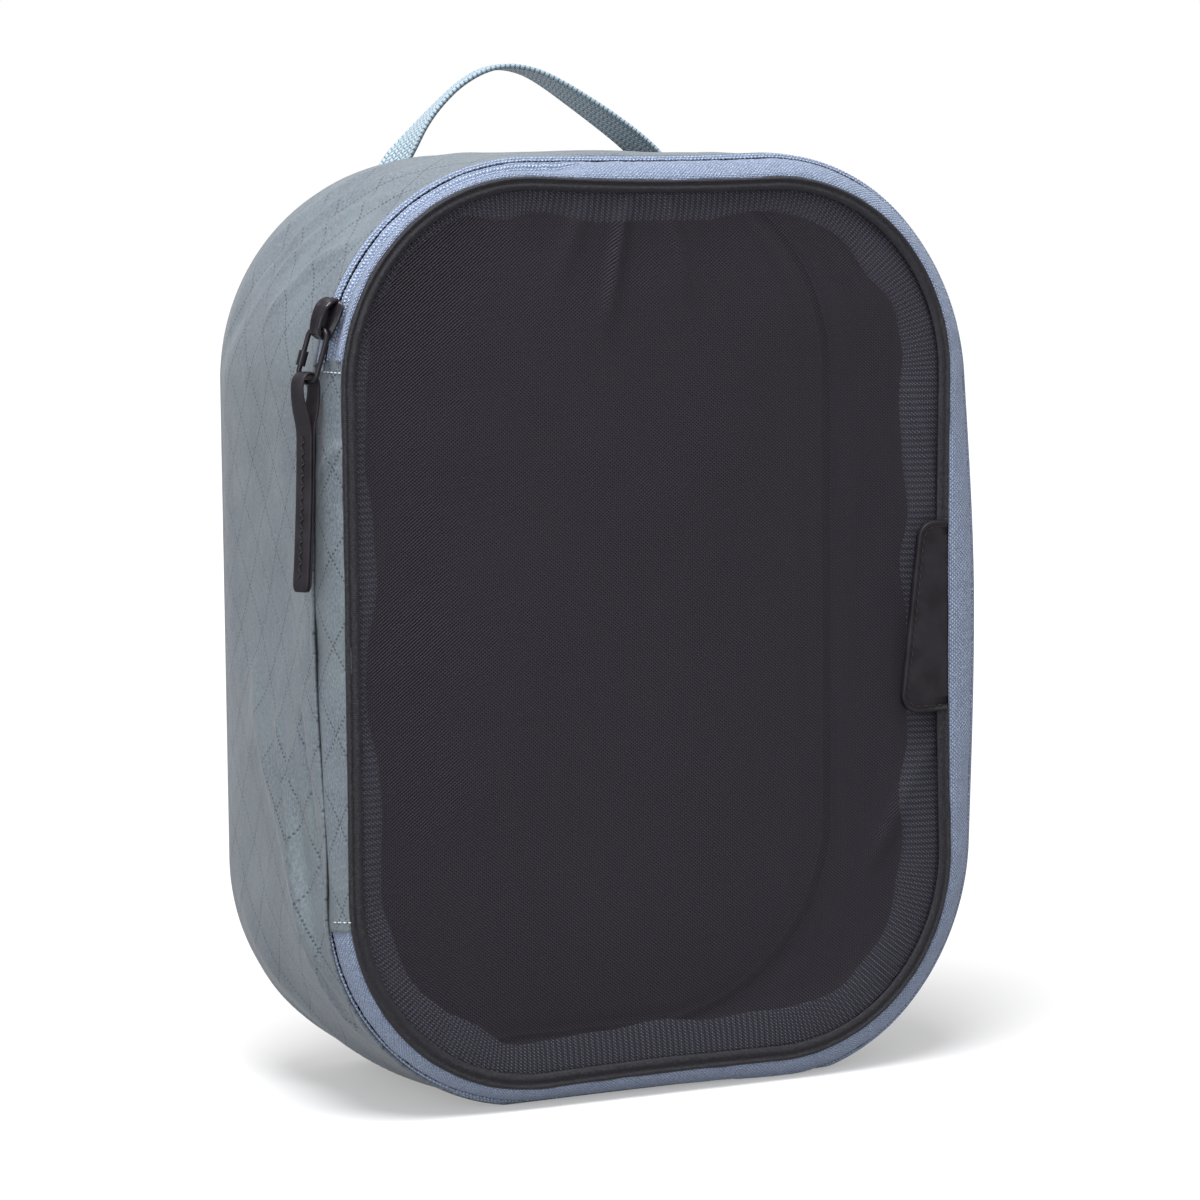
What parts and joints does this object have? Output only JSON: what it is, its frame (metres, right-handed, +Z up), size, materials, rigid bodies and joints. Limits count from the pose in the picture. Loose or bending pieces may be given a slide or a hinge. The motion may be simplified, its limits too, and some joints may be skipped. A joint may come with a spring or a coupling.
{
  "type": "packing cube",
  "caption": "Upright zipped travel packing cube: soft rounded fabric shell, hinged see-through mesh lid, top webbing handle, corded zip puller and side pull tab.",
  "frame": {"origin": "middle of the flat bottom of the gusset that the cube stands on, halfway between the zip side and the back", "axes": "+Z up, mesh lid faces -Y, +X to the right when facing the lid"},
  "size_m": [0.2021, 0.086, 0.2865],
  "materials": {
    "shell_fabric": "coated ripstop with dashed diamond stitching, semi-matte",
    "black_binding": "woven binding, matte",
    "zip_tape": "knitted pale blue zip tape, matte",
    "zip_coil": "moulded coil, satin",
    "thread": "sewing thread, matte",
    "black_thread": "sewing thread, matte",
    "webbing": "woven webbing, matte",
    "mesh": "fine see-through mesh, matte",
    "seam_tape": "ribbed seam tape, matte",
    "black_metal": "black enamelled die-cast metal, satin",
    "black_rubber": "soft moulded rubber, satin"
  },
  "bodies": {
    "shell": {"side_gusset": "shell_fabric", "back_panel": "shell_fabric", "back_seam_binding": "black_binding", "gusset_zip_tape": "zip_tape", "gusset_zip_coil": "zip_coil", "zip_end_stops": "zip_coil", "gusset_seam_binding": "black_binding", "hinge_strip": "shell_fabric", "strip_end_stitches": "thread", "handle_tails": "webbing", "handle_bartacks": "thread"},
    "lid": {"mesh_window": "mesh", "window_binding": "black_binding", "lid_seam_tape": "seam_tape", "lid_zip_tape": "zip_tape", "lid_zip_coil": "zip_coil"},
    "slider": {"slider_body": "black_metal", "slider_crown": "black_metal", "slider_lock_spring": "black_metal"},
    "puller_ring": {"pull_ring": "black_metal", "ring_ferrule": "black_metal"},
    "puller_strap": {"pull_strap": "black_rubber", "strap_stitching": "black_thread"},
    "handle": {"handle_webbing": "webbing"},
    "tab": {"side_tab": "black_rubber", "side_tab_stitching": "black_thread"}
  },
  "joints": [
    {"name": "lid_hinge", "type": "hinge", "parent": "shell", "child": "lid", "pos_m": [-0.0932, -0.0426, 0.13], "axis": [0, 0, -1], "range_deg": [0, 110]},
    {"name": "slider_run", "type": "hinge", "parent": "shell", "child": "slider", "pos_m": [-0.0355, -0.0345, 0.1975], "axis": [0, 1, 0], "range_deg": [0, 72]},
    {"name": "ring_swing", "type": "hinge", "parent": "slider", "child": "puller_ring", "pos_m": [-0.09674, -0.03649, 0.21424], "axis": [-0.3917, 0.9046, 0.1683], "range_deg": [0, 75]},
    {"name": "strap_swing", "type": "hinge", "parent": "puller_ring", "child": "puller_strap", "pos_m": [-0.10073, -0.03557, 0.20002], "axis": [-0.4067, 0.9136, 0], "range_deg": [0, 60]},
    {"name": "handle_fold", "type": "hinge", "parent": "shell", "child": "handle", "pos_m": [-0.005, 0.031, 0.2664], "axis": [1, 0, 0], "range_deg": [-60, 60], "stiffness_Nm_per_rad": 0.004},
    {"name": "tab_flip", "type": "hinge", "parent": "lid", "child": "tab", "pos_m": [0.0928, -0.0429, 0.12925], "axis": [0, 0, 1], "range_deg": [0, 110], "stiffness_Nm_per_rad": 0.002}
  ]
}
